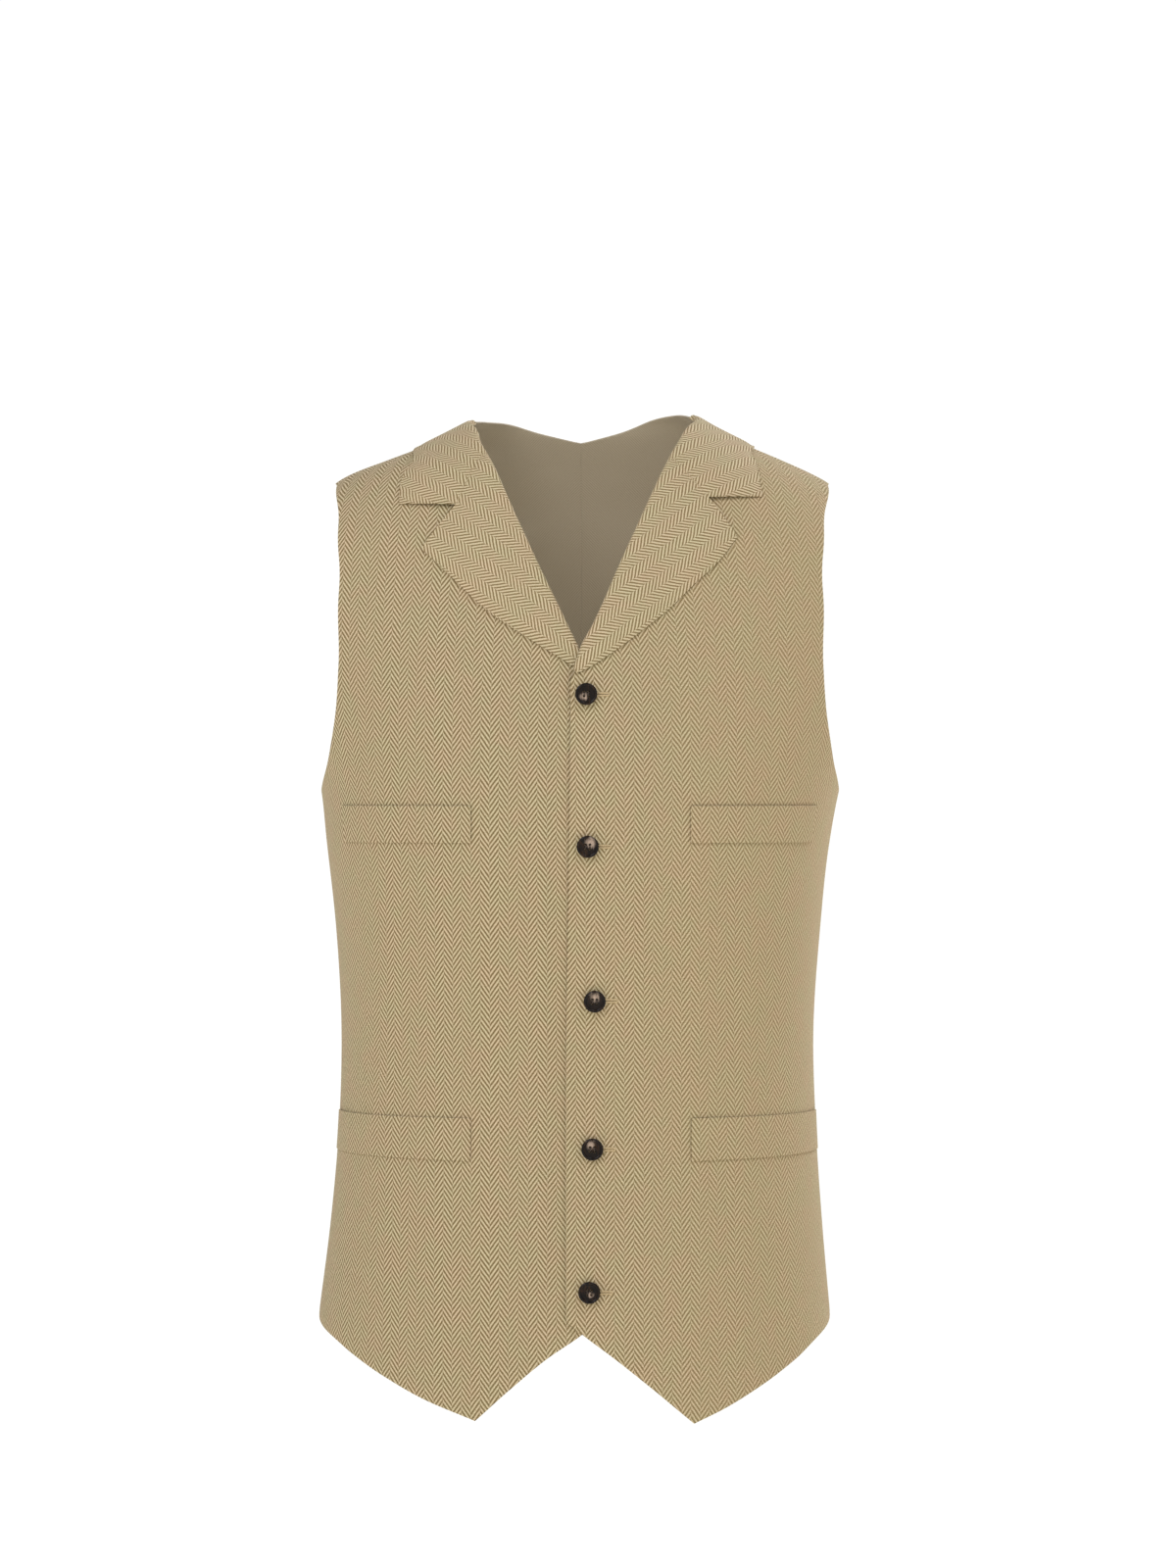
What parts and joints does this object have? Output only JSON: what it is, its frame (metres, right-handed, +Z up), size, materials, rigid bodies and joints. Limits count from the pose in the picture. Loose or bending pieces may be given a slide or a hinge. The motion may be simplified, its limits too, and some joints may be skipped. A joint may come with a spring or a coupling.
{
  "type": "suit waistcoat",
  "caption": "Single-breasted suit waistcoat with notched lapels, welt pockets, horn buttons and a pointed front hem, filled out as when worn, with open neck, armholes and hem.",
  "frame": {"origin": "midway between the shoulder seams, level with their middle, where the wearer's shoulders carry the garment", "axes": "+X to the wearer's left, -Y to the front, +Z up"},
  "size_m": [0.3541, 0.2527, 0.6762],
  "materials": {
    "suiting": "woven herringbone, matt",
    "back_cloth": "smooth woven, slight sheen",
    "horn": "polished dark horn",
    "thread": "matt thread"
  },
  "bodies": {
    "root": {"front_right": "suiting", "front_left": "suiting", "back_right": "back_cloth", "back_left": "back_cloth", "lapel_right": "suiting", "lapel_left": "suiting", "collar_right": "suiting", "collar_left": "suiting", "welt_upper_right": "suiting", "welt_upper_left": "suiting", "welt_lower_right": "suiting", "welt_lower_left": "suiting", "button_1": "horn", "button_2": "horn", "button_3": "horn", "button_4": "horn", "button_5": "horn", "shank_1": "thread", "shank_2": "thread", "shank_3": "thread", "shank_4": "thread", "shank_5": "thread"}
  },
  "joints": []
}
